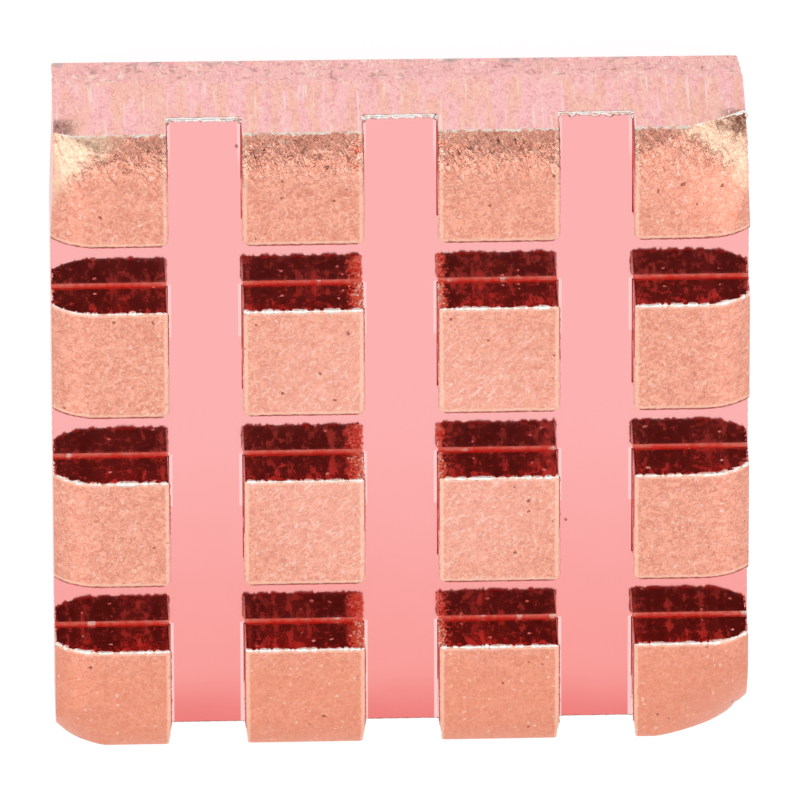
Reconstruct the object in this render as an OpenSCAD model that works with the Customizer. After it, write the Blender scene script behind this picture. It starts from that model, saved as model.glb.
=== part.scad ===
// Pin fin heat sink: a square copper blank, punched from plate, with crossed saw slots that
// leave a grid of square pins standing on a solid base. One piece of metal.
// Millimetres, +Z up. The origin is the centre of the flat underside.

/* [Blank] */
// Side of the square blank, seen from above
blank_side = 12; // [10:0.5:16]
// Thickness of the plate that the blank was punched from
blank_t = 3; // [2.5:0.1:5]
// Radius of the upright corners of the blank
corner_r = 0.2; // [0.1:0.05:0.6]

/* [Slots] */
// Pins along each side
pins_per_side = 4; // [3:1:5]
// Width of a saw slot
slot_w = 1.3; // [0.8:0.05:1.6]
// Depth of the slots below the pin tops
slot_depth = 1; // [0.6:0.05:1.5]
// Width of the pins along the sides of the blank, outside the outermost slots
outer_pin_w = 1.99; // [1.2:0.01:2.4]
// Radius left by the saw's worn corners where a slot wall meets its floor
slot_root_r = 0.06; // [0.03:0.01:0.15]

/* [Punched edge] */
// How far the top edge of each side is drawn down by the punch
edge_drop = 0.4; // [0.1:0.05:0.5]
// Radius of that drawn-down edge
edge_roll_r = 1; // [0.6:0.1:1.6]
// How far the top is drawn down at the four corners
corner_drop = 0.95; // [0.6:0.05:1.1]
// Radius of the drawn-down corners
corner_roll_r = 3; // [1.5:0.1:4]
// Height of the torn band above the underside, where the metal broke away
torn_h = 0.7; // [0.3:0.05:1]
// How far the torn band leans in at the underside
torn_inset = 0.03; // [0.01:0.01:0.08]

/* [Hidden] */
$fn = 96;
// Each cutter runs past the metal by this much, so that no faces coincide
overrun = 0.5;
half = blank_side / 2;
slot_floor_z = blank_t - slot_depth;
// The slots share out what lies between the outer pins
slots_per_side = pins_per_side - 1;
slot_pitch = (blank_side - 2 * outer_pin_w - slot_w) / (slots_per_side - 1);
// Distance from the axis to the tip of a rounded corner
corner_reach = (half - corner_r) * sqrt(2) + corner_r;

// Width of an arc of radius r, from its level end to where it has fallen by drop
function arc_width(r, drop) = sqrt(r * r - (r - drop) * (r - drop));

// Right half of a slab's section: its top is level and falls away in an arc of radius r,
// which has dropped by drop at the distance reach from the middle
module rolled_section(reach, drop, r) {
  level = reach - arc_width(r, drop);
  translate([0, -r]) square([level + r, blank_t]);
  translate([0, -r]) square([level, blank_t + r]);
  translate([level, blank_t - r]) circle(r);
}

// Right half of the blank's section across two opposite sides: it leans in at the torn band
module side_section() {
  intersection() {
    rolled_section(half, edge_drop, edge_roll_r);
    polygon([
      [0, 0],
      [half - torn_inset, 0],
      [half, torn_h],
      [half, blank_t + overrun],
      [0, blank_t + overrun],
    ]);
  }
}

// The section of two opposite sides, drawn out along Y
module side_bar() {
  rotate([90, 0, 0])
    linear_extrude(blank_side + 2 * overrun, center = true) {
      side_section();
      mirror([1, 0]) side_section();
    }
}

// A square with round corners, seen from above
module plan() {
  square([blank_side, blank_side - 2 * corner_r], center = true);
  square([blank_side - 2 * corner_r, blank_side], center = true);
  for (x = [-1, 1], y = [-1, 1])
    translate([x, y] * (half - corner_r)) circle(corner_r);
}

// The drawn-down corners lie on one turned surface around the middle of the blank
module corner_roll() {
  rotate_extrude() rolled_section(corner_reach, corner_drop, corner_roll_r);
}

module blank() {
  intersection() {
    linear_extrude(blank_t) plan();
    side_bar();
    rotate([0, 0, 90]) side_bar();
    corner_roll();
  }
}

// Section of one saw slot, with its bottom corners rounded
module slot_section() {
  straight = slot_w - 2 * slot_root_r;
  translate([-straight / 2, slot_floor_z]) square([straight, slot_depth + overrun]);
  translate([-slot_w / 2, slot_floor_z + slot_root_r])
    square([slot_w, slot_depth + overrun - slot_root_r]);
  for (side = [-1, 1])
    translate([side * straight / 2, slot_floor_z + slot_root_r]) circle(slot_root_r);
}

// The parallel slots of one pass of the gang saw, along Y
module saw_pass() {
  for (n = [0:slots_per_side - 1])
    translate([(n - (slots_per_side - 1) / 2) * slot_pitch, 0, 0])
      rotate([90, 0, 0])
        linear_extrude(blank_side + 2 * overrun, center = true) slot_section();
}

module heat_sink() {
  color([0.9, 0.62, 0.52])
    difference() {
      blank();
      saw_pass();
      rotate([0, 0, 90]) saw_pass();
    }
}

heat_sink();
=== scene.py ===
# %% [markdown]
# # A pin fin heat sink in bare copper
#
# This small block is stuck on a chip to cool it. It is one piece of copper: a square blank,
# punched from thick plate, with three slots sawn each way so that sixteen square pins are left.
# Almost all of its look comes from how each face was made. The tops of the pins still have the
# satin skin of the tumbled plate, the sawn slots are as bright as a mirror, and the punched sides
# have drawn scratches above a torn, rough band. So the lesson goes through the making in order:
# blank, slots, burrs, and then a finish for each kind of face.

# %% The frame and the sizes
import math

import bmesh
import bpy
from mathutils import Euler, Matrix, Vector


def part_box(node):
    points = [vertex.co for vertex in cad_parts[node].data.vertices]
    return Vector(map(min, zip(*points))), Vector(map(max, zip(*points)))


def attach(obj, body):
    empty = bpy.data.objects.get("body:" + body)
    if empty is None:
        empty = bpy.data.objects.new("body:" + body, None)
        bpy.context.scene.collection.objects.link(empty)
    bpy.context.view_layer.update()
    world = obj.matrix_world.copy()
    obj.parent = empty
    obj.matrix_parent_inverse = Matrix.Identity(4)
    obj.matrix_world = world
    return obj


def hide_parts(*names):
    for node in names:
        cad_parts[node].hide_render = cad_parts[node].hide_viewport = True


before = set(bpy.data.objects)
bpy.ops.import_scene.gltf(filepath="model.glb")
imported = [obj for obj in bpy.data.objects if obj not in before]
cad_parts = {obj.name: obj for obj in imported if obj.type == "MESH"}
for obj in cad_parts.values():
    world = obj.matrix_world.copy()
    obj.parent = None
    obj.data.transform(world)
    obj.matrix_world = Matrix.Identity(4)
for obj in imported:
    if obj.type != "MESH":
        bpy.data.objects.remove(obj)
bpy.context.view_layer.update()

MM = 0.001
NODE = "heat_sink"
low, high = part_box(NODE)
SIDE = (high[0] - low[0]) / MM
HEIGHT = (high[2] - low[2]) / MM
HALF = SIDE / 2

SLOTS = 3
SLOT_W = 1.3
SLOT_DEPTH = 1.0
OUTER_PIN_W = 1.99
SLOT_PITCH = (SIDE - 2 * OUTER_PIN_W - SLOT_W) / (SLOTS - 1)
FLOOR_Z = HEIGHT - SLOT_DEPTH
print(f"blank {SIDE:.1f} mm square and {HEIGHT:.1f} mm thick, slots {SLOT_PITCH:.2f} mm apart")


# %% [markdown]
# ## Writing node trees as formulas
#
# The blank and its finishes follow rules, and a rule is easiest to read as a formula. A `Wire` is
# the output of a node. Adding or multiplying wires adds the Math node that does it, in a Geometry
# Nodes tree and in a material alike, so the code below reads like ordinary arithmetic.

# %% Wires and nodes
def connect(tree, value, socket):
    """Feeds a socket from a wire, or sets it to a plain value."""
    if isinstance(value, Wire):
        tree.links.new(value.socket, socket)
    else:
        socket.default_value = value


def add_node(tree, kind, inputs=None, **settings):
    """Adds a node, sets its options, and feeds its inputs by name or by number."""
    node = tree.nodes.new(kind)
    for name, value in settings.items():
        setattr(node, name, value)
    for name, value in (inputs or {}).items():
        connect(tree, value, node.inputs[name])
    return node


class Wire:
    """The output of a node, which can be used in a formula."""

    def __init__(self, tree, socket):
        self.tree = tree
        self.socket = socket

    def math(self, operation, *others):
        return calc(self.tree, operation, self, *others)

    def __add__(self, other):
        return self.math("ADD", other)

    def __radd__(self, other):
        return calc(self.tree, "ADD", other, self)

    def __sub__(self, other):
        return self.math("SUBTRACT", other)

    def __rsub__(self, other):
        return calc(self.tree, "SUBTRACT", other, self)

    def __mul__(self, other):
        return self.math("MULTIPLY", other)

    def __rmul__(self, other):
        return calc(self.tree, "MULTIPLY", other, self)

    def __truediv__(self, other):
        return self.math("DIVIDE", other)

    def __gt__(self, other):
        return self.math("GREATER_THAN", other)

    def __lt__(self, other):
        return self.math("LESS_THAN", other)

    def size(self):
        return self.math("ABSOLUTE")

    def positive(self):
        return self.math("MAXIMUM", 0.0)

    def root(self):
        return self.positive().math("SQRT")

    def clip(self, low, high):
        return self.math("MAXIMUM", low).math("MINIMUM", high)


def first(tree, kind, inputs=None, **settings):
    """Adds a node and gives its first output."""
    return Wire(tree, add_node(tree, kind, inputs, **settings).outputs[0])


def calc(tree, operation, *values):
    """One Math node."""
    node = add_node(tree, "ShaderNodeMath", operation=operation)
    for socket, value in zip(node.inputs, values):
        connect(tree, value, socket)
    return Wire(tree, node.outputs[0])


def ramp(wire, start, end):
    """Rises smoothly from 0 at start to 1 at end; it falls where end is the smaller."""
    rise = ((wire - start) / (end - start)).clip(0.0, 1.0)
    return rise * rise * (3.0 - 2.0 * rise)


def blend(first, second, share):
    """Goes from the first number to the second as share goes from 0 to 1."""
    return first + (second - first) * share


def split(tree, vector):
    """The x, y and z of a vector."""
    node = add_node(tree, "ShaderNodeSeparateXYZ", {"Vector": vector})
    return [Wire(tree, socket) for socket in node.outputs]


def join(tree, x, y, z):
    """A vector made of three numbers."""
    return first(tree, "ShaderNodeCombineXYZ", {"X": x, "Y": y, "Z": z})


def scaled(tree, vector, factors):
    """A vector with each of its parts multiplied."""
    return first(tree, "ShaderNodeVectorMath", {0: vector, 1: factors}, operation="MULTIPLY")


def noise(tree, place, scale, detail=2.0, roughness=0.5, distortion=0.0):
    """Soft noise around 0.5; the scale is in bumps for each unit of place."""
    inputs = {"Vector": place, "Scale": scale, "Detail": detail}
    inputs |= {"Roughness": roughness, "Distortion": distortion}
    return first(tree, "ShaderNodeTexNoise", inputs)


def warped(tree, place, scale, reach):
    """A place that noise has pushed about, so that round things drawn on it turn ragged."""
    inputs = {"Vector": place, "Scale": scale, "Detail": 3.0}
    push = Wire(tree, add_node(tree, "ShaderNodeTexNoise", inputs).outputs["Color"])
    inputs = {0: push, 1: (reach,) * 3, 2: place}
    return first(tree, "ShaderNodeVectorMath", inputs, operation="MULTIPLY_ADD")


def named_inputs(tree, sizes):
    """Gives a tree its named inputs, numbers or vectors, and returns them as wires."""
    for name, value in sizes.items():
        kind = "NodeSocketVector" if isinstance(value, tuple) else "NodeSocketFloat"
        socket = tree.interface.new_socket(name, in_out="INPUT", socket_type=kind)
        socket.default_value = value
    source = tree.nodes.new("NodeGroupInput")
    return {name: Wire(tree, source.outputs[name]) for name in sizes}


print("wires ready")


# %% [markdown]
# ## The blank, drawn as a stretched grid
#
# A box cut with Boolean slots would give long thin triangles with no lines to bend. This piece
# follows a rule instead. A square grid of whole numbers is laid out, the squares that lie on pins
# are extruded upwards in steps, the border is extruded downwards, and only then is each point
# sent to its real place by formula. The lines crowd together beside each saw cut, where the root
# of the wall has its small radius and the rim its dull edge. A punch never draws plate down evenly,
# so each corner of the blank has a drop, a roll and a radius of its own.

# %% Sizes of the blank in millimetres
blank_sizes = {
    "Side": SIDE,
    "Thickness": HEIGHT,
    "Slot floor": FLOOR_Z,
    "Slot width": SLOT_W,
    "Slot pitch": SLOT_PITCH,
    "Root radius": 0.042,
    "Edge drop": 0.4,
    "Far edge drop": 0.24,
    "Edge radius": 1.0,
    "Pin corner": 0.13,
    "Front pin corner": 0.03,
    "Rim width": 0.035,
    "Rim drop": 0.014,
    "Burr room": 0.014,
    "Torn height": 0.7,
    "Torn inset": 0.03,
    "Torn roughness": 0.03,
    "Far pinch": 0.05,
    "Near taper": 0.065,
}
corner_shapes = {
    "near left": {"Drop": 0.52, "Roll": 3.0, "Plan": 0.05},
    "near right": {"Drop": 0.95, "Roll": 3.0, "Plan": 0.05},
    "far left": {"Drop": 1.13, "Roll": 1.3, "Plan": 0.05},
    "far right": {"Drop": 1.33, "Roll": 2.0, "Plan": 0.3},
}
for where, shape in corner_shapes.items():
    blank_sizes |= {f"{what} {where}": value for what, value in shape.items()}
PIN_LINES = 24
SLOT_LINES = 16
ROOT_LINES = 3
WALL_STEPS = 10
SIDE_STEPS = 24
GRID_LINES = (SLOTS + 1) * PIN_LINES + SLOTS * SLOT_LINES
CROWDING = 0.8
SLOT_CROWDING = 0.97
HAIR = 0.001
PINCH_LENGTH = 0.6
TAPER_FROM = (0.7, 0.6)
LOWEST_RIM = 0.98
TORN_FADE = (0.05, 0.1)
FOOT_FADE = 0.2
PIT_LEVEL = 0.42
PIT_DEPTH = 5.0
print(f"grid of {GRID_LINES} by {GRID_LINES} squares")


# %% Formulas for the plan of the blank
def crowded(share, amount=CROWDING):
    """Moves even steps from 0 to 1 so that they crowd at both ends."""
    return share - (share * math.tau).math("SINE") * (amount / math.tau)


def nearest_slot(place, size):
    """How far a place is from the middle of the nearest slot, and on which side of it."""
    reach = (SLOTS - 1) / 2
    number = (place / size["Slot pitch"]).math("ROUND").clip(-reach, reach)
    offset = place - number * size["Slot pitch"]
    return offset.size(), offset.math("SIGN")


def line_place(line, size):
    """The place of a grid line: a pin, a slot, a pin, a slot ... from one side to the other."""
    half = size["Side"] / 2.0
    period = PIN_LINES + SLOT_LINES
    pair = (line / period + HAIR).math("FLOOR")
    left_over = line - pair * period
    on_slot = left_over > PIN_LINES + 0.5
    slot_middle = (pair - (SLOTS - 1) / 2) * size["Slot pitch"]
    slot_start = slot_middle - size["Slot width"] / 2.0
    pin_start = (slot_start - size["Slot pitch"] + size["Slot width"]).math("MAXIMUM", half * -1.0)
    pin_end = slot_start.math("MINIMUM", half)
    on_pin = crowded((left_over / PIN_LINES).clip(0.0, 1.0))
    in_slot = crowded(((left_over - PIN_LINES) / SLOT_LINES).clip(0.0, 1.0), SLOT_CROWDING)
    pin_place = blend(pin_start, pin_end, on_pin)
    slot_place = slot_start + size["Slot width"] * in_slot
    return blend(pin_place, slot_place, on_slot)


def corner_pull(to_x_wall, to_y_wall, radius):
    """How far a point is pulled in from two walls to round the corner between them."""
    across = (radius - to_x_wall).positive()
    along = (radius - to_y_wall).positive()
    longest = across.math("MAXIMUM", along)
    slant = (across * across + along * along).root().math("MAXIMUM", HAIR / 10)
    keep = longest / slant
    inside = (across > 0.0) * (along > 0.0)
    return across * (1.0 - keep) * inside, along * (1.0 - keep) * inside


print("plan formulas ready")


# %% Formulas for the heights of the blank
def of_corner(what, x, y, size):
    """A size that differs from one corner of the blank to the next."""
    far = blend(size[f"{what} far left"], size[f"{what} far right"], x > 0.0)
    near = blend(size[f"{what} near left"], size[f"{what} near right"], x > 0.0)
    return blend(far, near, y > 0.0)


def rolled_top(distance, reach, drop, radius, size):
    """Height of a top that is level and then falls in an arc as it nears the reach."""
    level = reach - (radius * radius - (radius - drop) * (radius - drop)).root()
    over = (distance - level).positive()
    return size["Thickness"] - radius + (radius * radius - over * over).root()


def root_rise(into_slot, radius):
    """How far the radius at the root of a wall lifts the slot's floor."""
    left = radius - into_slot.positive().math("MINIMUM", radius)
    return radius - (radius * radius - left * left).root()


def top_height(x, y, to_rim, size):
    """The top of the blank: rolled at its sides and corners, and dull at each sawn rim."""
    half = size["Side"] / 2.0
    plan = of_corner("Plan", x, y, size)
    reach = (half - plan) * math.sqrt(2) + plan
    drop_in_y = blend(size["Edge drop"], size["Far edge drop"], y < 0.0)
    top = rolled_top(x.size(), half, size["Edge drop"], size["Edge radius"], size)
    roll_in_y = rolled_top(y.size(), half, drop_in_y, size["Edge radius"], size)
    from_middle = (x * x + y * y).root().math("MINIMUM", reach)
    corner = (of_corner("Drop", x, y, size), of_corner("Roll", x, y, size), size)
    top = top.math("MINIMUM", roll_in_y).math("MINIMUM", rolled_top(from_middle, reach, *corner))
    dull = size["Rim drop"] * (1.0 - (to_rim / size["Rim width"]).clip(0.0, 1.0))
    return top - dull - size["Burr room"]


print("height formulas ready")


# %% The tree of the blank
def plain_grid(tree, z):
    """A flat grid of whole numbers around the middle."""
    shape = {"Size X": float(GRID_LINES), "Size Y": float(GRID_LINES)}
    shape |= {"Vertices X": GRID_LINES + 1, "Vertices Y": GRID_LINES + 1}
    grid = Wire(tree, add_node(tree, "GeometryNodeMeshGrid", shape).outputs["Mesh"])
    inputs = {"Geometry": grid, "Translation": (0.0, 0.0, z)}
    return first(tree, "GeometryNodeTransform", inputs)


def extruded(tree, mesh, mode, chosen, steps, rise):
    """Extrudes what is chosen again and again, one whole number at a time."""
    offset = join(tree, 0.0, 0.0, rise)
    for _ in range(steps):
        inputs = {"Mesh": mesh, "Selection": chosen, "Offset": offset}
        if mode == "FACES":
            inputs["Individual"] = False
        step = add_node(tree, "GeometryNodeExtrudeMesh", inputs, mode=mode)
        mesh = Wire(tree, step.outputs["Mesh"])
        chosen = Wire(tree, step.outputs["Top"])
    return mesh


def on_pin_lines(axis):
    """Whether a place among the whole numbers is on a pin, and how many lines it is from it."""
    line = axis + GRID_LINES / 2
    period = PIN_LINES + SLOT_LINES
    left_over = line - (line / period).math("FLOOR") * period
    past_pin = left_over - PIN_LINES
    lines_away = past_pin.math("MINIMUM", SLOT_LINES - past_pin)
    return left_over < PIN_LINES, lines_away


def whole_number_blank(tree):
    """The blank before any point has its real place."""
    place = first(tree, "GeometryNodeInputPosition")
    x, y, z = split(tree, place)
    on_pins = on_pin_lines(x)[0] * on_pin_lines(y)[0]
    mesh = plain_grid(tree, 0.0)
    mesh = extruded(tree, mesh, "FACES", on_pins, WALL_STEPS, 1.0)
    faces = add_node(tree, "GeometryNodeInputMeshEdgeNeighbors")
    border = Wire(tree, faces.outputs[0]) < 1.5
    mesh = extruded(tree, mesh, "EDGES", border, SIDE_STEPS, -1.0)
    both = add_node(tree, "GeometryNodeJoinGeometry")
    tree.links.new(plain_grid(tree, -float(SIDE_STEPS)).socket, both.inputs[0])
    tree.links.new(mesh.socket, both.inputs[0])
    inputs = {"Geometry": Wire(tree, both.outputs[0]), "Distance": 0.01}
    return first(tree, "GeometryNodeMergeByDistance", inputs)


def paint(tree, mesh, faces, material):
    """Gives the chosen faces a material."""
    inputs = {"Geometry": mesh, "Selection": faces, "Material": material}
    return first(tree, "GeometryNodeSetMaterial", inputs)


def started(name, sizes, takes_mesh=True):
    """A new geometry tree: the tree, its sizes as wires, and the mesh that it takes."""
    tree = bpy.data.node_groups.new(name, "GeometryNodeTree")
    if takes_mesh:
        tree.interface.new_socket("Blank", in_out="INPUT", socket_type="NodeSocketGeometry")
    size = named_inputs(tree, sizes)
    tree.interface.new_socket("Mesh", in_out="OUTPUT", socket_type="NodeSocketGeometry")
    return tree, size, Wire(tree, tree.nodes.new("NodeGroupInput").outputs[0])


def ended(tree, mesh, material=None):
    """Ends a geometry tree with real faces instead of instances, and with their material."""
    mesh = first(tree, "GeometryNodeRealizeInstances", {"Geometry": mesh})
    if material:
        mesh = paint(tree, mesh, True, material)
    connect(tree, mesh, tree.nodes.new("NodeGroupOutput").inputs[0])
    return tree


def painted(tree, mesh, finishes):
    """Gives each kind of face its finish, while its middle is still at a whole number."""
    x, y, z = split(tree, first(tree, "GeometryNodeInputPosition"))
    pin_in_x = on_pin_lines(x)[0]
    y_away = on_pin_lines(y)[1]
    root = pin_in_x * (y_away < ROOT_LINES)
    at_border = x.size().math("MAXIMUM", y.size()) > GRID_LINES / 2 - 0.1
    raised = z > 0.1
    on_y_wall = (y + 0.25).math("FRACT") < 0.5
    mesh = paint(tree, mesh, True, finishes["slot floor"])
    mesh = paint(tree, mesh, root, finishes["root"])
    mesh = paint(tree, mesh, raised, finishes["long wall"])
    mesh = paint(tree, mesh, raised * on_y_wall, finishes["cross wall"])
    mesh = paint(tree, mesh, z > WALL_STEPS - 0.1, finishes["pin top"])
    mesh = paint(tree, mesh, at_border * (z < WALL_STEPS - 0.1), finishes["side"])
    return paint(tree, mesh, z < 0.1 - SIDE_STEPS, finishes["underside"])


def blank_place(tree, size):
    """The real place of each point, in millimetres."""
    raw = first(tree, "GeometryNodeInputPosition")
    raw_x, raw_y, level = split(tree, raw)
    half = size["Side"] / 2.0
    x = line_place(raw_x + GRID_LINES / 2, size)
    y = line_place(raw_y + GRID_LINES / 2, size)
    from_x, x_side = nearest_slot(x, size)
    from_y, y_side = nearest_slot(y, size)
    half_slot = size["Slot width"] / 2.0
    rise = root_rise(half_slot - from_x, size["Root radius"])
    rise = rise.math("MINIMUM", root_rise(half_slot - from_y, size["Root radius"]))
    to_rim = (from_x - half_slot).math("MINIMUM", from_y - half_slot).positive()
    top = top_height(x, y, to_rim, size)
    foot = (size["Slot floor"] + rise).math("MINIMUM", top * LOWEST_RIM)
    above = blend(foot, top, crowded((level / WALL_STEPS).clip(0.0, 1.0)))
    below = foot * (1.0 + level / SIDE_STEPS)
    z = blend(below, above, level > -0.5)

    pin_corner = blend(size["Pin corner"], size["Front pin corner"], y_side < 0.0)
    pin_pull = corner_pull(from_x - half_slot + HAIR / 10, from_y - half_slot + HAIR / 10, pin_corner)
    plan = of_corner("Plan", x, y, size)
    blank_pull = corner_pull(half - x.size(), half - y.size(), plan)
    on_pin = (from_x > half_slot - HAIR) * (from_y > half_slot - HAIR)
    pinch = size["Far pinch"] * ramp(y, PINCH_LENGTH - half, half * -1.0)
    pinch = pinch * (1.0 - (from_x - half_slot)).clip(0.0, 1.0)
    taper = size["Near taper"] * ramp(x.size(), half * TAPER_FROM[0], half)
    taper = taper * ramp(y, half * TAPER_FROM[1], half)
    x = x + (pin_pull[0] + pinch) * x_side * on_pin - (blank_pull[0] + taper) * x.math("SIGN")
    y = y + pin_pull[1] * y_side * on_pin - blank_pull[1] * y.math("SIGN")

    on_side = (raw_x.size().math("MAXIMUM", raw_y.size()) > GRID_LINES / 2 - 0.5)
    over, under = TORN_FADE
    torn = ramp(z, size["Torn height"] + over, size["Torn height"] - under)
    torn = torn * ramp(z, 0.0, FOOT_FADE)
    pits = noise(tree, join(tree, x, y, z * 1.6), 3.5, 4.0, 0.6)
    pits = (pits - PIT_LEVEL).clip(0.0, 1.0) * size["Torn roughness"] * PIT_DEPTH
    uneven = 1.0 + x / half * (y > half * 0.98)
    lean = size["Torn inset"] * uneven * (1.0 - (z / size["Torn height"]).clip(0.0, 1.0))
    shrink = 1.0 - (lean + pits * torn * on_side) / half
    return join(tree, x * shrink, y * shrink, z)


def crisp_edges(tree, mesh):
    """Shades the faces smooth, apart from the edges that are sharp on the real piece."""
    inputs = {0: mesh, "Shade Smooth": True}
    mesh = first(tree, "GeometryNodeSetShadeSmooth", inputs)
    angle = first(tree, "GeometryNodeInputMeshEdgeAngle")
    inputs = {0: mesh, "Selection": angle > math.radians(38), "Shade Smooth": False}
    return first(tree, "GeometryNodeSetShadeSmooth", inputs, domain="EDGE")


def blank_tree(finishes):
    """The whole tree: whole numbers, a finish for each kind of face, real places, sharp edges."""
    tree, size, _ = started("sawn blank", blank_sizes, takes_mesh=False)
    mesh = painted(tree, whole_number_blank(tree), finishes)
    inputs = {"Geometry": mesh, "Position": scaled(tree, blank_place(tree, size), (MM,) * 3)}
    mesh = first(tree, "GeometryNodeSetPosition", inputs)
    return ended(tree, crisp_edges(tree, mesh))


print("blank tree ready")


# %% Running a tree
def made_by(tree, name, sizes=None, start=None):
    """Runs a tree on a holder and keeps the result as a plain mesh object."""
    holder = bpy.data.objects.new(name, start or bpy.data.meshes.new(name))
    bpy.context.scene.collection.objects.link(holder)
    modifier = holder.modifiers.new("maker", "NODES")
    modifier.node_group = tree
    for item in tree.interface.items_tree:
        if item.in_out == "INPUT" and item.name in (sizes or {}):
            modifier[item.identifier] = sizes[item.name]
    graph = bpy.context.evaluated_depsgraph_get()
    mesh = bpy.data.meshes.new_from_object(holder.evaluated_get(graph), depsgraph=graph)
    mesh.name = name
    holder.modifiers.remove(modifier)
    holder.data = mesh
    return holder


def close_up(piece):
    """Turns every face of a closed mesh outwards, drops an unused slot, and says how it is built."""
    work = bmesh.new()
    work.from_mesh(piece.data)
    bmesh.ops.recalc_face_normals(work, faces=work.faces)
    open_edges = sum(1 for edge in work.edges if len(edge.link_faces) != 2)
    triangles = sum(len(face.verts) - 2 for face in work.faces)
    work.to_mesh(piece.data)
    work.free()
    if piece.data.materials[0] is None:
        piece.data.materials.pop(index=0)
    print(f"{piece.name}: {triangles} triangles, {open_edges} open edges")


# %% [markdown]
# ## Shader groups that the finishes share
#
# Copper is the same metal everywhere on this piece, so the finishes share their effects. Each
# effect is a node group that puts out masks and heights only: where a place lies among the saw
# cuts, the grain of a tumbled skin, drawn scratches, and sparse specks. Every finish then mixes
# them with its own values, which keeps the materials short.

# %% A place to build groups
def new_group(name, inputs, outputs):
    """An empty shader group: its tree, its inputs as wires, and its output node."""
    tree = bpy.data.node_groups.new(name, "ShaderNodeTree")
    wires = named_inputs(tree, inputs)
    for label in outputs:
        tree.interface.new_socket(label, in_out="OUTPUT", socket_type="NodeSocketFloat")
    return tree, wires, tree.nodes.new("NodeGroupOutput")


def use_group(tree, group, **values):
    """Places a group in a tree; the values name its inputs with _ for a space."""
    node = add_node(tree, "ShaderNodeGroup", node_tree=group)
    for name, value in values.items():
        connect(tree, value, node.inputs[name.replace("_", " ")])
    return {socket.name: Wire(tree, socket) for socket in node.outputs}


print("group helpers ready")


# %% Where a place lies among the cuts
FAR_HALF = (1.5, 0.9)


def cuts_group():
    """Distances from the walls of the nearest slots, positive on a pin and negative over a slot,
    and three masks: the rims that face the near side, those along Y, and the far half of a pin."""
    outputs = ["Past long wall", "Past cross wall", "To rim", "Faces front", "By long rim", "Far half"]
    tree, given, result = new_group("where_the_cuts_are", {"Place": (0.0, 0.0, 0.0)}, outputs)
    x, y, _ = split(tree, given["Place"])
    from_x, _ = nearest_slot(x, blank_sizes)
    from_y, y_side = nearest_slot(y, blank_sizes)
    past_x = from_x - SLOT_W / 2
    past_y = from_y - SLOT_W / 2
    connect(tree, past_x, result.inputs["Past long wall"])
    connect(tree, past_y, result.inputs["Past cross wall"])
    connect(tree, past_x.math("MINIMUM", past_y), result.inputs["To rim"])
    connect(tree, (y_side < 0.0) * (past_y < past_x), result.inputs["Faces front"])
    connect(tree, past_x < past_y, result.inputs["By long rim"])
    far_half = ramp(past_y, *FAR_HALF) * (y_side > 0.0)
    connect(tree, far_half, result.inputs["Far half"])
    return tree


cuts = cuts_group()
print("group:", cuts.name)


# %% Grain, scratches and specks
def grain_group():
    """The skin that tumbling leaves: a mottled tone, short bright strokes, and their height."""
    given_values = {"Place": (0.0, 0.0, 0.0), "Scale": 10.0}
    tree, given, result = new_group("tumbled_grain", given_values, ["Tone", "Strokes", "Height"])
    fine = noise(tree, given["Place"], given["Scale"], 3.0, 0.6, 1.2)
    broad = noise(tree, given["Place"], given["Scale"] * 0.3, 2.0, 0.5)
    tone = (fine - 0.5) * 3.2 + (broad - 0.5) * 0.8 + 0.5
    connect(tree, tone.clip(0.0, 1.0), result.inputs["Tone"])
    curls = noise(tree, given["Place"], given["Scale"] * 0.7, 2.0, 0.5, 2.5)
    connect(tree, ramp(curls, 0.58, 0.66), result.inputs["Strokes"])
    connect(tree, fine + broad * 0.8, result.inputs["Height"])
    return tree


def scratches_group():
    """Straight marks drawn along Z, or along Y where the place is turned first."""
    given_values = {"Place": (0.0, 0.0, 0.0), "Fineness": 14.0, "Length": 1.0}
    tree, given, result = new_group("drawn_scratches", given_values, ["Tone"])
    x, y, z = split(tree, given["Place"])
    drawn = join(tree, x * given["Fineness"], y * given["Fineness"], z / given["Length"])
    streaks = noise(tree, drawn, 1.0, 3.0, 0.6)
    connect(tree, ((streaks - 0.5) * 2.5 + 0.5).clip(0.0, 1.0), result.inputs["Tone"])
    return tree


def specks_group():
    """Sparse round specks: the share of the cells that have one, and how far it reaches in each."""
    given_values = {"Place": (0.0, 0.0, 0.0), "Scale": 5.0, "Share": 0.1, "Reach": 0.2}
    tree, given, result = new_group("sparse_specks", given_values, ["Mask"])
    ragged = warped(tree, given["Place"], given["Scale"] * 2.5, 0.12)
    cells = add_node(tree, "ShaderNodeTexVoronoi", {"Vector": ragged, "Scale": given["Scale"]})
    chance = split(tree, Wire(tree, cells.outputs["Color"]))[0]
    far = Wire(tree, cells.outputs["Distance"]) / given["Reach"]
    connect(tree, ramp(far, 1.0, 0.6) * (chance < given["Share"]), result.inputs["Mask"])
    return tree


grain = grain_group()
scratches = scratches_group()
specks = specks_group()
print("groups:", grain.name, scratches.name, specks.name)


# %% A bare metal finish
def tinted(tree, first, second, share):
    """Goes from the first colour to the second as share goes from 0 to 1."""
    node = add_node(tree, "ShaderNodeMix", {0: share}, data_type="RGBA")
    for color, socket in ((first, node.inputs[6]), (second, node.inputs[7])):
        connect(tree, (*color, 1.0) if isinstance(color, tuple) else color, socket)
    return Wire(tree, node.outputs[2])


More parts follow.
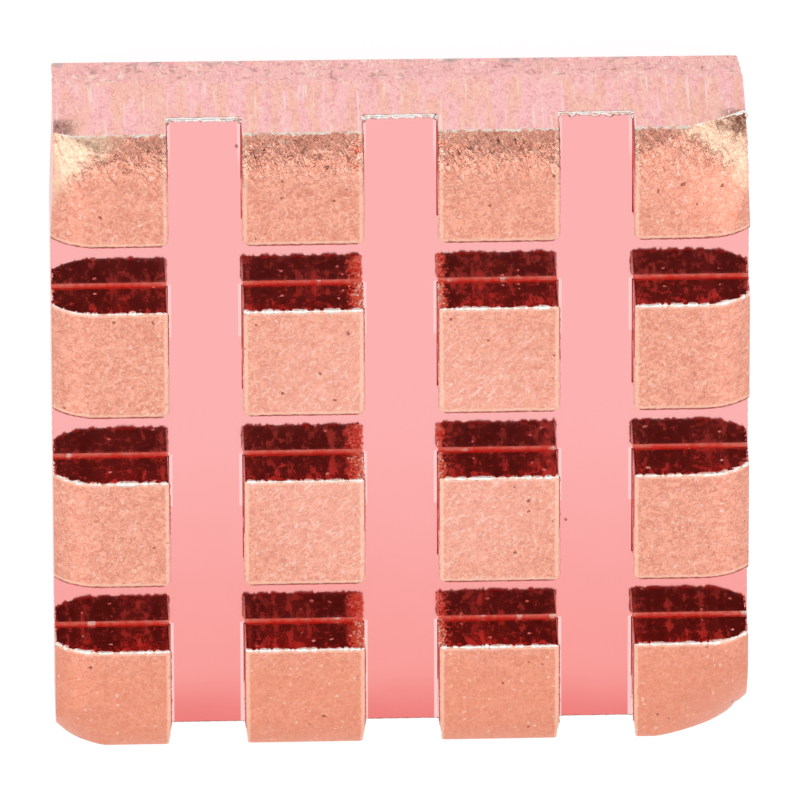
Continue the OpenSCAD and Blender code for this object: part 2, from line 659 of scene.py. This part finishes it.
class Finish:
    """A bare metal material: its tree, its shader, and the place on the piece in millimetres."""

    def __init__(self, name, metallic=1.0):
        self.material = bpy.data.materials.new(name)
        self.material.use_nodes = True
        self.tree = self.material.node_tree
        self.tree.nodes.clear()
        self.shader = add_node(self.tree, "ShaderNodeBsdfPrincipled", {"Metallic": metallic})
        output = self.tree.nodes.new("ShaderNodeOutputMaterial")
        self.tree.links.new(self.shader.outputs[0], output.inputs["Surface"])
        spot = Wire(self.tree, add_node(self.tree, "ShaderNodeTexCoord").outputs["Object"])
        self.place = scaled(self.tree, spot, (1 / MM,) * 3)
        self.x, self.y, self.z = split(self.tree, self.place)

    def group(self, which, **values):
        return use_group(self.tree, which, Place=self.place, **values)

    def noise(self, *values):
        return noise(self.tree, self.place, *values)

    def mix(self, first, second, share):
        return tinted(self.tree, first, second, share)

    def lay(self, tint, share):
        """Lays a tint over the colour so far, as strongly as the share says."""
        self.color = self.mix(self.color, tint, share)

    def done(self, roughness, height, depth):
        """Feeds the shader; depth is the height of a bump of 1 in millimetres."""
        inputs = {"Height": height, "Distance": depth * MM}
        bump = add_node(self.tree, "ShaderNodeBump", inputs)
        connect(self.tree, self.color, self.shader.inputs["Base Color"])
        connect(self.tree, roughness, self.shader.inputs["Roughness"])
        connect(self.tree, Wire(self.tree, bump.outputs["Normal"]), self.shader.inputs["Normal"])
        print("finish:", self.material.name)
        return self.material


# %% [markdown]
# ## The tumbled skin
#
# After punching, the blanks are tumbled with grit, which leaves a satin skin of tiny curved marks.
# Slots are cut afterwards, so each pin top has a fine dark line of painted shade where the saw's
# burr begins, and a painted highlight just inside it. The distance from the nearest cut gives both,
# with noise to make them waver as a torn edge does. Where the punch drew the edge down, the skin is
# wrinkled; the two near corners carry a painted cream highlight, the near right one a painted dark
# reflection, and the near edge a painted highlight along its lip. The underside has the same skin,
# but no cuts and none of this painted light.

# %% Pin tops and underside
DARK_SKIN = (0.70, 0.25, 0.175)
LIGHT_SKIN = (0.95, 0.445, 0.32)
STROKE = (1.0, 0.68, 0.55)
ROSY_SKIN = (0.93, 0.455, 0.365)
WARM_SKIN = (0.80, 0.27, 0.16)
CREAM_HIGHLIGHT = (1.0, 0.70, 0.50)
SCUFF = (1.0, 0.66, 0.58)
PIT = (0.28, 0.07, 0.05)
FLECK = (1.0, 0.78, 0.66)
RIM_SHADE_LINE = (0.33, 0.07, 0.055)
BURR_WHITE_HIGHLIGHT = (1.0, 0.96, 0.92)
DARK_REFLECTION = (0.20, 0.06, 0.04)
RIM_HIGHLIGHT = (1.0, 0.66, 0.50)
LIP_HIGHLIGHT = (1.0, 0.88, 0.78)
# Millimetres at which each effect starts and is full
MIDDLE_REACH = (4.2, 1.5)
FAR_ROW = (-3.2, -4.8)
RIM_HIGHLIGHT_REACH = (0.085, 0.055)
RIM_SHADE_REACH = (0.024, 0.012)
CREAM_HIGHLIGHT_FROM = (7.5, 7.85)
DARK_REFLECTION_FROM = (8.02, 8.14)
LIP_HIGHLIGHT_REACH = (0.035, 0.015)


def tumbled(name, sawn):
    """The skin of a face; sawn is 1 where cuts and the punch have marked it, and 0 where not."""
    finish = Finish(name)
    skin = finish.group(grain, Scale=13.5)
    finish.color = finish.mix(DARK_SKIN, LIGHT_SKIN, skin["Tone"])
    from_middle = (finish.x * finish.x + finish.y * finish.y).root()
    middle = ramp(from_middle, *MIDDLE_REACH)
    finish.lay(STROKE, skin["Strokes"] * blend(0.5, 0.85, middle))
    finish.lay(ROSY_SKIN, middle * 0.4)
    slanting = join(finish.tree, (finish.x + finish.y) * 3.0, (finish.x - finish.y) * 11.0, 0.0)
    scuffs = ramp(noise(finish.tree, slanting, 1.0, 4.0, 0.65, 1.0), 0.54, 0.68)
    finish.lay(SCUFF, scuffs * blend(0.25, 0.8, middle))
    finish.lay(WARM_SKIN, ramp(finish.y, *FAR_ROW) * 0.55)
    pits = finish.group(specks, Scale=4.5, Share=0.16, Reach=0.16)["Mask"]
    finish.lay(PIT, pits * 0.8)
    flecks = finish.group(specks, Scale=9.0, Share=0.20, Reach=0.28)["Mask"]
    finish.lay(FLECK, flecks * 0.5)

    near = finish.group(cuts)
    waver = (finish.noise(9.0, 4.0, 0.6) - 0.5) * 0.07
    to_rim = near["To rim"] + waver
    # Painted highlight just inside each sawn rim, and a painted dark line of shade at the rim itself
    finish.lay(RIM_HIGHLIGHT, ramp(to_rim, *RIM_HIGHLIGHT_REACH) * 0.5 * sawn)
    line = blend(0.85, 0.2, near["By long rim"].math("MAXIMUM", near["Faces front"]))
    finish.lay(RIM_SHADE_LINE, ramp(to_rim, *RIM_SHADE_REACH) * line * sawn)

    # Painted cream highlight where the two near corners roll over, and a painted dark reflection at
    # the very near right corner
    outward = from_middle + (finish.noise(5.0, 3.0) - 0.5) * 0.5
    burnished = ramp(outward, *CREAM_HIGHLIGHT_FROM) * (finish.y > 0.0) * sawn
    finish.lay(CREAM_HIGHLIGHT, burnished * blend(0.45, 0.95, skin["Tone"]))
    dark_reflection = ramp(outward, *DARK_REFLECTION_FROM) * (finish.x > 0.0) * (finish.y > 0.0) * sawn
    finish.lay(DARK_REFLECTION, dark_reflection * blend(1.0, 0.4, skin["Tone"]))

    # Painted highlight along the near edge of the blank, broken in places
    to_edge = HALF - finish.x.size().math("MAXIMUM", finish.y)
    lip = ramp(to_edge + (finish.noise(9.0, 3.0) - 0.5) * 0.10, *LIP_HIGHLIGHT_REACH)
    lip = lip * (finish.y > HALF - 0.15) * sawn
    broken = ramp(finish.noise(6.0, 3.0, 0.6), 0.40, 0.48)
    finish.lay(LIP_HIGHLIGHT, lip * blend(0.15, 1.0, broken))

    wrinkled = ramp(finish.y, HALF - 1.1, HALF - 0.5) * (1.0 - burnished * 0.75) * sawn
    slanted = finish.x + finish.y * 0.25
    drawn = join(finish.tree, slanted * 8.0, finish.y * 3.5, finish.z * 3.5)
    wrinkles = noise(finish.tree, drawn, 1.0, 3.0, 0.55, 0.8)
    height = skin["Height"] + wrinkles * wrinkled * 9.0 - pits * 0.6
    roughness = blend(0.34, 0.46, skin["Tone"]) - wrinkled * 0.16 + lip * 0.25
    return finish.done(roughness, height, 0.012)


tumbled_top = tumbled("tumbled_top", 1.0)
underside = tumbled("tumbled_underside", 0.0)


# %% [markdown]
# ## The sawn slots
#
# A slitting saw with sharp teeth burnishes copper as it cuts, so the slot floors are mirrors. They
# are nearly flat and clean, and only a few dark specks sit on them; towards the far end their colour
# is painted darker as shade. The walls are rougher: each tooth leaves a faint upright streak, and
# chips welded to the metal show as small glints, whose lighter colour is a painted highlight. Copper
# that reflects copper again and again goes from pink to a deep red; here that deep red is painted
# into the colours of the walls and roots as painted reflection, with the long walls darker still and
# the corners of the walls darker as painted shade. Beside each long wall the floor has a narrow
# gleam, a painted highlight, and the root of each cross wall is rough, so it catches light from
# everywhere.

# %% Slot floors
FLOOR_PINK = (0.98, 0.445, 0.440)
FLOOR_ROSE = (0.95, 0.335, 0.315)
FLOOR_DEEP_SHADE = (0.86, 0.215, 0.205)
FLOOR_GLEAM = (1.0, 0.61, 0.60)
# Millimetres at which each effect starts and is full
ROSE_TOWARDS = (0.8, -6.0)
DEEP_TOWARDS = (-4.9, -6.1)
GLEAM_REACH = (-0.085, -0.06)
DUST = (0.35, 0.16, 0.15)


def sawn_floor(name):
    finish = Finish(name)
    cloud = (finish.noise(0.8, 2.0) - 0.5) * 1.2
    finish.color = finish.mix(FLOOR_PINK, FLOOR_ROSE, ramp(finish.y + cloud, *ROSE_TOWARDS))
    # Painted shade: the floor's colour darkens towards the far end
    finish.lay(FLOOR_DEEP_SHADE, ramp(finish.y + cloud * 0.3, *DEEP_TOWARDS))
    near = finish.group(cuts)
    # Painted highlight: a narrow lighter line on the floor beside each long wall
    foot = ramp(near["Past long wall"], *GLEAM_REACH) * (near["Past cross wall"] > 0.0)
    finish.lay(FLOOR_GLEAM, foot * (1.0 - near["Far half"]))
    dust = finish.group(specks, Scale=1.4, Share=0.22, Reach=0.06)["Mask"]
    finish.lay(DUST, dust * 0.7)
    streaks = finish.noise(3.0, 3.0)
    return finish.done(blend(0.04, 0.09, streaks) + dust * 0.4, streaks - dust, 0.0006)


slot_floor = sawn_floor("sawn_floor")

# %% Slot walls
GLINT = (1.0, 0.80, 0.72)
CHIP = (1.0, 0.29, 0.16)
CROSS_REFLECTED_TONES = (0.78, 0.09, 0.07), (0.96, 0.18, 0.14)
LONG_SHADED_TONES = (0.42, 0.11, 0.09), (0.60, 0.18, 0.15)
CORNER_SHADE = (0.22, 0.05, 0.04)
CORNER_SHADE_REACH = (0.05, 0.03)
MIDDLE_SLOT = (1.3, 1.0)


def sawn_wall(name, dark, light, tearing):
    """A mirror with upright streaks; tearing is how strongly its ends are chipped, from 0 to 1."""
    finish = Finish(name)
    marks = finish.group(scratches, Fineness=7.0, Length=0.5)
    blotches = ramp(finish.noise(6.0, 4.0, 0.65), 0.50, 0.68)
    upright = scaled(finish.tree, finish.place, (1.8, 1.8, 0.5))
    bands = ramp(noise(finish.tree, upright, 1.0, 3.0, 0.6), 0.35, 0.7)
    finish.color = finish.mix(dark, light, marks["Tone"])
    near = finish.group(cuts)
    # Painted light: the far half of each long wall is a lighter rose
    finish.lay(FLOOR_ROSE, near["Far half"] * near["By long rim"] * 0.7)
    at_corner = near["Past long wall"].math("MAXIMUM", near["Past cross wall"])
    # Painted shade: the walls darken towards the upright corners of each pin
    finish.lay(CORNER_SHADE, ramp(at_corner, *CORNER_SHADE_REACH) * 0.9)
    ragged = finish.noise(16.0, 3.0, 0.7)
    middle = ramp(finish.x.size(), *MIDDLE_SLOT)
    reach = blend(0.1, blend(0.24, 0.12, finish.x > 0.0), middle)
    torn = ramp((at_corner + (ragged - 0.5) * 0.7) / reach, 1.0, 0.5)
    torn = torn * blend(0.1, 1.0, middle) * tearing
    finish.lay(CHIP, torn)
    # Specks with rough bumps; their lighter colour is a painted highlight
    glints = finish.group(specks, Scale=4.0, Share=0.42, Reach=0.15)["Mask"]
    finish.lay(GLINT, glints)
    roughness = 0.10 + blotches * 0.2 + ramp(marks["Tone"], 0.5, 0.9) * 0.22 + bands * 0.17
    roughness = roughness.math("MAXIMUM", torn * 0.55).math("MAXIMUM", glints * 0.75)
    height = marks["Tone"] + ragged * torn * 6.0 + glints * 3.0
    return finish.done(roughness, height, 0.004)


# The deep reds of both walls are painted reflection of copper in copper; the long walls are darker
# still with painted shade
cross_wall = sawn_wall("sawn_cross_wall", *CROSS_REFLECTED_TONES, 1.0)
long_wall = sawn_wall("sawn_long_wall", *LONG_SHADED_TONES, 0.15)

# %% Roots of the walls
ROOT_REFLECTED_DARK = (1.0, 0.17, 0.12)
ROOT_REFLECTED_LIGHT = (1.0, 0.38, 0.30)
ROOT_METALLIC = 0.88


def sawn_root(name):
    """The round root of a wall, which the worn corners of the saw's teeth leave rough."""
    finish = Finish(name, ROOT_METALLIC)
    ragged = finish.noise(7.0, 3.0, 0.6)
    # The root's reds are a painted reflection of the copper around it
    finish.color = finish.mix(ROOT_REFLECTED_DARK, ROOT_REFLECTED_LIGHT, ramp(ragged, 0.35, 0.65))
    # Specks with rough bumps; their lighter colour is a painted highlight
    glints = finish.group(specks, Scale=3.5, Share=0.45, Reach=0.28)["Mask"]
    finish.lay(GLINT, glints)
    return finish.done(0.45 + glints * 0.3, ragged, 0.004)


root = sawn_root("sawn_root")


# %% [markdown]
# ## The punched sides
#
# A punch shears plate in two stages. It first slides down the side and burnishes it, which leaves
# upright scratches, and then the rest of the metal tears away in a rough, pitted band. The band's
# lowest part is greyer in patches. Height above the underside decides which of the two shows.

# %% Sides
SIDE_PINK = (1.0, 0.535, 0.55)
SIDE_TAN = (0.97, 0.53, 0.425)
SIDE_LINE = (1.0, 0.74, 0.72)
SIDE_SHADE = (0.80, 0.36, 0.33)
TORN_DARK = (0.42, 0.19, 0.16)
LOW_GREY = (0.56, 0.42, 0.41)
# Millimetres at which each effect starts and is full
BURNISHED_ABOVE = (0.7, 0.95)
GREY_BELOW = (0.2, 0.08)
ROLLED_REACH = (HALF - 0.5, HALF - 0.35)
ROLLED_ABOVE = (1.95, 2.1)


def punched(name):
    finish = Finish(name)
    marks = finish.group(scratches, Fineness=4.0, Length=3.0)
    lines = ramp(finish.group(scratches, Fineness=12.0, Length=1.8)["Tone"], 0.68, 0.9)
    upright = scaled(finish.tree, finish.place, (1.0, 1.0, 0.45))
    skin = use_group(finish.tree, grain, Place=upright, Scale=13.0)
    burnished = ramp(finish.z + (finish.noise(2.0, 2.0) - 0.5) * 0.5, *BURNISHED_ABOVE)
    patches = ramp(finish.noise(1.3, 3.0, 0.6) + (skin["Tone"] - 0.5) * 0.6, 0.4, 0.7)
    strips = ramp(marks["Tone"], 0.35, 0.65)
    finish.color = finish.mix(SIDE_PINK, SIDE_TAN, blend(patches * 0.6, strips, burnished))
    finish.lay(SIDE_SHADE, ramp(skin["Tone"], 0.5, 0.1) * 0.75)
    finish.lay(SIDE_LINE, lines * burnished * 0.8)
    finish.lay(FLECK, ramp(skin["Tone"], 0.7, 1.0) * 0.5)
    finish.lay(FLECK, skin["Strokes"] * blend(0.35, 0.9, 1.0 - burnished))
    band = 1.0 - burnished
    hollows = ramp(finish.noise(5.0, 4.0, 0.65, 0.8), 0.57, 0.66) * band
    finish.lay(TORN_DARK, hollows * 0.5)
    flecks = finish.group(specks, Scale=4.0, Share=0.3, Reach=0.3)["Mask"] * band
    finish.lay(FLECK, flecks * 0.8)
    # Greyer patches low on the sides, towards the underside
    greyed_low = ramp(finish.z, *GREY_BELOW) * ramp(finish.noise(2.5, 4.0, 0.6), 0.52, 0.6)
    finish.lay(LOW_GREY, greyed_low * 0.7)
    waver = (skin["Tone"] - 0.5) * 0.25
    # Painted dark reflection high on the sides at the two near corners, where the edge rolls over
    rolled = ramp(finish.x.size() + waver, *ROLLED_REACH) * ramp(finish.z + waver, *ROLLED_ABOVE)
    rolled = rolled * ramp(finish.y + waver, *ROLLED_REACH)
    finish.lay(DARK_REFLECTION, rolled * blend(0.95, 0.3, skin["Tone"]))
    height = marks["Tone"] * burnished * 0.8 + skin["Height"] * (0.5 + band * 1.5) - hollows
    return finish.done(blend(0.3, 0.5, skin["Tone"]), height, 0.008)


punched_side = punched("punched_side")


# %% [markdown]
# ## Making the blank
#
# Every face gets its finish while the grid is still in whole numbers, because there its kind can be
# read from its place without any doubt. Afterwards the same faces go to their real places.

# %% Blank
finishes = {
    "pin top": tumbled_top,
    "slot floor": slot_floor,
    "cross wall": cross_wall,
    "root": root,
    "long wall": long_wall,
    "side": punched_side,
    "underside": underside,
}
heat_sink = made_by(blank_tree(finishes), "heat_sink_copper", blank_sizes)
close_up(heat_sink)
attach(heat_sink, "root")
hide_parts(NODE)


# %% [markdown]
# ## Burrs
#
# A saw pushes soft copper ahead of its teeth and leaves it standing at the rims as a thin ragged
# lip. It is heaviest on the edges that the teeth left last, which all face the near side, and at
# the mouths of the slots on that side. The lip follows edges that the blank already has, so the
# tree picks those edges by their angle, turns them into curves, and gives the curves a body of
# uneven thickness.

# %% Sizes of the burrs in millimetres
burr_sizes = {
    "Heavy": 0.040,
    "Light": 0.013,
    "Step": 0.025,
    "Wander": 0.018,
    "Overhang": 0.007,
    "Raggedness": 0.036,
}
BURR_SIDES = 6
ABOVE_MOUTH = 0.15
AT_WALL = 0.012
AT_SIDE = 0.1
BURR_METALLIC = 0.9
THINNEST = 0.25
THICKEST = 1.7
THINNEST_FRONT = 0.55
SALMON_BURR = (1.0, 0.60, 0.46)
BURR_WITHOUT_HIGHLIGHT = (0.93, 0.52, 0.40)
BURR_SHADE = (0.36, 0.07, 0.05)
ROSY_REFLECTED_LINE = (0.56, 0.13, 0.11)
PALE_REFLECTED_LINE = (0.86, 0.42, 0.36)


def burr_finish(name, light, dark, lined):
    """Rough torn metal. Where lined is 1, its outer half over a slot is painted with the dark tone
    that the wall reflects there, its lower side is painted in shade, as only the walls light it, and
    away from the front rims and the low mouths it lacks the painted white highlight."""
    finish = Finish(name, BURR_METALLIC)
    skin = finish.group(grain, Scale=14.0)
    finish.color = finish.mix(light, dark, ramp(finish.noise(7.0, 3.0, 0.6), 0.5, 0.62) * 0.75)
    near = finish.group(cuts)
    outside = ramp(near["To rim"], 0.004, -0.004) * (1.0 - near["Faces front"]) * lined
    outside = outside * (finish.z > FLOOR_Z + FOOT_FADE)
    line = finish.mix(ROSY_REFLECTED_LINE, PALE_REFLECTED_LINE, near["Far half"] * near["By long rim"])
    bright = near["Faces front"].math("MAXIMUM", finish.z < FLOOR_Z + FOOT_FADE)
    finish.lay(BURR_WITHOUT_HIGHLIGHT, (1.0 - bright) * lined)
    finish.lay(line, outside)
    facing = Wire(finish.tree, add_node(finish.tree, "ShaderNodeNewGeometry").outputs["Normal"])
    under = ramp(split(finish.tree, facing)[2], 0.0, -0.4)
    finish.lay(BURR_SHADE, under * lined)
    return finish.done(blend(0.3, 0.5, skin["Tone"]), skin["Height"], 0.006)


# The near-white colour of the saw burrs is a painted highlight
saw_burr = burr_finish("saw_burr", BURR_WHITE_HIGHLIGHT, SALMON_BURR, 1.0)


# %% The tree of the burrs
def kept_in_box(tree, x, y, z, margin=0.001):
    """The place of a point, held inside the blank's own box."""
    most = HALF - margin
    top = z.math("MINIMUM", HEIGHT - margin)
    return join(tree, x.clip(-most, most), y.clip(-most, most), top)


def place_in_mm(tree):
    place = first(tree, "GeometryNodeInputPosition")
    return scaled(tree, place, (1 / MM,) * 3)


def burr_tree(material):
    tree, size, blank = started("saw burrs", burr_sizes)
    place = place_in_mm(tree)
    x, y, z = split(tree, place)
    angle = first(tree, "GeometryNodeInputMeshEdgeAngle")
    sharp = (angle > math.radians(45)) * (z > FLOOR_Z - AT_SIDE)
    picked = first(tree, "GeometryNodeMeshToCurve", {"Mesh": blank, "Selection": sharp})
    inputs = {"Curve": picked, "Length": size["Step"] * MM}
    line = first(tree, "GeometryNodeResampleCurve", inputs, mode="LENGTH")

    from_x, x_side = nearest_slot(x, blank_sizes)
    from_y, y_side = nearest_slot(y, blank_sizes)
    at_x_wall = (from_x - SLOT_W / 2).size() < AT_WALL
    at_y_wall = (from_y - SLOT_W / 2).size() < AT_WALL
    at_mouth = (z < FLOOR_Z + ABOVE_MOUTH) * (x.size().math("MAXIMUM", y.size()) > HALF - AT_SIDE)
    near_mouth = at_mouth * (y > HALF - AT_SIDE)
    front_rim = at_y_wall * (y_side < 0.0) * (z > FLOOR_Z + ABOVE_MOUTH)
    heavy = front_rim.math("MAXIMUM", near_mouth)
    uneven = (noise(tree, place, 5.5, 3.0, 0.7) - 0.5) * 3.2 + 0.95
    radius = blend(size["Light"] * blend(1.0, 0.5, at_mouth), size["Heavy"], heavy)
    radius = radius * blend(1.0, 1.3, near_mouth) * blend(1.0, 0.6, at_x_wall * at_y_wall)
    radius = radius * uneven.clip(THINNEST, THICKEST).math("MAXIMUM", front_rim * THINNEST_FRONT)
    drift = noise(tree, place, 9.0, 3.0, 0.6) - 0.5
    sideways = noise(tree, scaled(tree, place, (1.0, 1.0, -1.0)), 8.0, 2.0) - 0.5
    wander = size["Wander"] * blend(0.5, 2.0, heavy)
    out_x = size["Overhang"] * at_x_wall * x_side * -1.0
    out_y = size["Overhang"] * at_y_wall * y_side * blend(-1.0, 1.5, front_rim)
    out_y = out_y - radius * 0.6 * at_mouth * y.math("SIGN")
    height = z + radius * blend(blend(-0.9, -0.05, front_rim), 0.4, at_mouth)
    moved = kept_in_box(tree, x + sideways * wander + out_x, y + drift * wander + out_y, height)
    inputs = {"Geometry": line, "Position": scaled(tree, moved, (MM,) * 3)}
    line = first(tree, "GeometryNodeSetPosition", inputs)
    ring = {"Resolution": BURR_SIDES, "Radius": 1.0}
    ring = Wire(tree, add_node(tree, "GeometryNodeCurvePrimitiveCircle", ring).outputs["Curve"])
    inputs = {"Curve": line, "Profile Curve": ring, "Scale": radius * MM, "Fill Caps": True}
    body = first(tree, "GeometryNodeCurveToMesh", inputs)

    place = place_in_mm(tree)
    torn = noise(tree, place, 24.0, 2.0, 0.6) - 0.5
    outward = first(tree, "GeometryNodeInputNormal")
    push = torn * size["Raggedness"]
    x, y, z = (a + b * push for a, b in zip(split(tree, place), split(tree, outward)))
    inputs = {"Geometry": body, "Position": scaled(tree, kept_in_box(tree, x, y, z), (MM,) * 3)}
    body = first(tree, "GeometryNodeSetPosition", inputs)
    return ended(tree, body, material)


burrs = made_by(burr_tree(saw_burr), "saw_burrs", burr_sizes, heat_sink.data.copy())
close_up(burrs)
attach(burrs, "root")


# %% [markdown]
# ## Chips at the middle slot
#
# One cutter of the gang was duller than the others and tore the corners beside the middle slot. The
# crumbs there are too many and too even in kind to place by hand, so points are scattered on the
# walls, thickest at the corners, and a small rough crumb is set on each.

# %% Sizes of the chips in millimetres
chip_sizes = {
    "Smallest": 0.010,
    "Largest": 0.042,
    "Reach": 0.24,
}
CHIPS_PER_SQUARE_MM = 420.0
CHIP_SPACING = 0.012
CHIP_SEED = 7
CHIP_LIGHT = (1.0, 0.72, 0.58)
CHIP_RED = (1.0, 0.17, 0.08)
chip_metal = burr_finish("torn_chip", CHIP_LIGHT, CHIP_RED, 0.0)


def chip_tree(material):
    tree, size, blank = started("torn chips", chip_sizes)
    x, y, z = split(tree, place_in_mm(tree))
    facing = first(tree, "GeometryNodeInputNormal")
    to_front = split(tree, facing)[1]
    past_wall = x.size() - SLOT_W / 2
    reach = size["Reach"] * blend(1.0, 0.5, x > 0.0)
    beside = ramp(past_wall, reach, 0.0) * (past_wall > -0.01)
    on_wall = (to_front > 0.3) * (z > FLOOR_Z + 0.05) * (z < HEIGHT - 0.05) * (y < HALF - 0.1)
    inputs = {"Density Max": CHIPS_PER_SQUARE_MM / MM ** 2, "Density Factor": beside * on_wall}
    inputs |= {"Mesh": blank, "Distance Min": CHIP_SPACING * MM, "Seed": CHIP_SEED}
    kind = "GeometryNodeDistributePointsOnFaces"
    scatter = add_node(tree, kind, inputs, distribute_method="POISSON")
    crumb = add_node(tree, "GeometryNodeMeshIcoSphere", {"Radius": 1.0, "Subdivisions": 1})
    spread = add_node(tree, "FunctionNodeRandomValue", {8: CHIP_SEED}, data_type="FLOAT_VECTOR")
    connect(tree, join(tree, *(size["Smallest"] * MM for _ in range(3))), spread.inputs[0])
    connect(tree, join(tree, *(size["Largest"] * MM for _ in range(3))), spread.inputs[1])
    inputs = {
        "Points": Wire(tree, scatter.outputs["Points"]),
        "Instance": Wire(tree, crumb.outputs["Mesh"]),
        "Rotation": Wire(tree, scatter.outputs["Rotation"]),
        "Scale": Wire(tree, spread.outputs[0]),
    }
    return ended(tree, first(tree, "GeometryNodeInstanceOnPoints", inputs), material)


chips = made_by(chip_tree(chip_metal), "torn_chips", chip_sizes, heat_sink.data.copy())
close_up(chips)
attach(chips, "root")


# %% [markdown]
# ## Camera
#
# The camera stands well back with a long lens, so that the far pins look nearly as large as the
# near ones. It looks down steeply and is held upside down, which puts the near side at the top.

# %% Camera
VIEW_ELEVATION = math.radians(60.3)
VIEW_TURN = math.radians(2.72)
VIEW_ROLL = math.radians(176.71)
VIEW_DISTANCE = 420 * MM
VIEW_WIDTH = 13.812 * MM
AIM = Vector((0.012, 0.049, 1.45)) * MM

camera_data = bpy.data.cameras.new("camera")
camera_data.sensor_width = 36.0
camera_data.lens = camera_data.sensor_width * VIEW_DISTANCE / VIEW_WIDTH
camera_data.clip_start = 0.01
camera_data.clip_end = 10.0
camera = bpy.data.objects.new("camera", camera_data)
bpy.context.scene.collection.objects.link(camera)
level_x = -math.sin(VIEW_TURN) * math.cos(VIEW_ELEVATION)
level_y = math.cos(VIEW_TURN) * math.cos(VIEW_ELEVATION)
toward = Vector((level_x, level_y, math.sin(VIEW_ELEVATION)))
camera.location = AIM + toward * VIEW_DISTANCE
camera.rotation_mode = "QUATERNION"
upside_down = Euler((0, 0, VIEW_ROLL)).to_quaternion()
camera.rotation_quaternion = toward.to_track_quat("Z", "Y") @ upside_down
bpy.context.scene.camera = camera
print(f"lens {camera_data.lens:.0f} mm at {VIEW_DISTANCE / MM:.0f} mm")


# %% [markdown]
# ## Floor and light
#
# The block stands on white paper in a white tent. Paper lit only by the tent would come out grey,
# so it also glows a little, for the camera and for reflections, and still takes a soft shadow.

# %% Paper floor
FLOOR_REACH = 0.5
PAPER_WHITE = 0.9
PAPER_SEEN = 0.14
PAPER_GLOW = 0.9


def paper_floor():
    mesh = bpy.data.meshes.new("floor")
    corners = [(-1, -1), (1, -1), (1, 1), (-1, 1)]
    places = [(x * FLOOR_REACH, y * FLOOR_REACH, 0) for x, y in corners]
    mesh.from_pydata(places, [], [(0, 1, 2, 3)])
    material = bpy.data.materials.new("white_paper")
    material.use_nodes = True
    tree = material.node_tree
    tree.nodes.clear()
    plain = first(tree, "ShaderNodeBsdfDiffuse", {"Color": (*(PAPER_WHITE,) * 3, 1.0)})
    dim = first(tree, "ShaderNodeBsdfDiffuse", {"Color": (*(PAPER_SEEN,) * 3, 1.0)})
    glow = first(tree, "ShaderNodeEmission", {"Strength": PAPER_GLOW})
    seen = first(tree, "ShaderNodeAddShader", {0: dim, 1: glow})
    path = add_node(tree, "ShaderNodeLightPath")
    direct = Wire(tree, path.outputs["Is Camera Ray"])
    mirrored = direct.math("MAXIMUM", Wire(tree, path.outputs["Is Glossy Ray"]))
    choice = first(tree, "ShaderNodeMixShader", {0: mirrored, 1: plain, 2: seen})
    connect(tree, choice, tree.nodes.new("ShaderNodeOutputMaterial").inputs["Surface"])
    mesh.materials.append(material)
    floor = bpy.data.objects.new("floor", mesh)
    bpy.context.scene.collection.objects.link(floor)
    return floor


paper_floor()
print("paper floor ready")


# %% [markdown]
# ## The tent
#
# Polished metal has no colour of its own to show: it shows the room. The tent is white all round,
# with two brighter panels at its sides, one dark gap on the side of the lens, and a low gap to
# each side of that. The slot walls that face a gap reflect it, straight or by way of the slot
# floor, and turn almost black.

# %% World
GAP_LIGHT = 0.085
PANEL_LIGHT = 1.2
# Degrees around and above, between which each edge of a dark gap or a panel fades
GAP_AROUND = (50, 25)
GAP_ABOVE = (22, 34)
GAP_BELOW = (80, 68)
LOW_GAP_AROUND = (35, 50)
LOW_GAP_WITHIN = (92, 76)
LOW_GAP_ABOVE = (4, 12)
LOW_GAP_BELOW = (32, 22)
PANEL_AROUND = (50, 62)
PANEL_WITHIN = (125, 105)
PANEL_ABOVE = (28, 38)
PANEL_BELOW = (75, 62)


def tent():
    world = bpy.data.worlds.new("white_tent")
    world.use_nodes = True
    tree = world.node_tree
    tree.nodes.clear()
    direction = Wire(tree, add_node(tree, "ShaderNodeTexCoord").outputs["Generated"])
    x, y, z = split(tree, direction)
    degrees = 180 / math.pi
    around = calc(tree, "ARCTAN2", x, y).size() * degrees
    above = z.math("ARCSINE") * degrees
    gap = ramp(around, *GAP_AROUND) * ramp(above, *GAP_ABOVE) * ramp(above, *GAP_BELOW)
    low_gap = ramp(around, *LOW_GAP_AROUND) * ramp(around, *LOW_GAP_WITHIN)
    low_gap = low_gap * ramp(above, *LOW_GAP_ABOVE) * ramp(above, *LOW_GAP_BELOW)
    panels = ramp(around, *PANEL_AROUND) * ramp(around, *PANEL_WITHIN)
    panels = panels * ramp(above, *PANEL_ABOVE) * ramp(above, *PANEL_BELOW)
    light = blend(1.0, GAP_LIGHT, gap.math("MAXIMUM", low_gap)) + panels * PANEL_LIGHT
    path = add_node(tree, "ShaderNodeLightPath")
    light = blend(light, 1.0, Wire(tree, path.outputs["Is Camera Ray"]))
    glow = first(tree, "ShaderNodeBackground", {"Color": (1.0,) * 4, "Strength": light})
    connect(tree, glow, tree.nodes.new("ShaderNodeOutputWorld").inputs["Surface"])
    return world


scene = bpy.context.scene
scene.world = tent()
scene.view_settings.view_transform = "Standard"
print("tent ready")
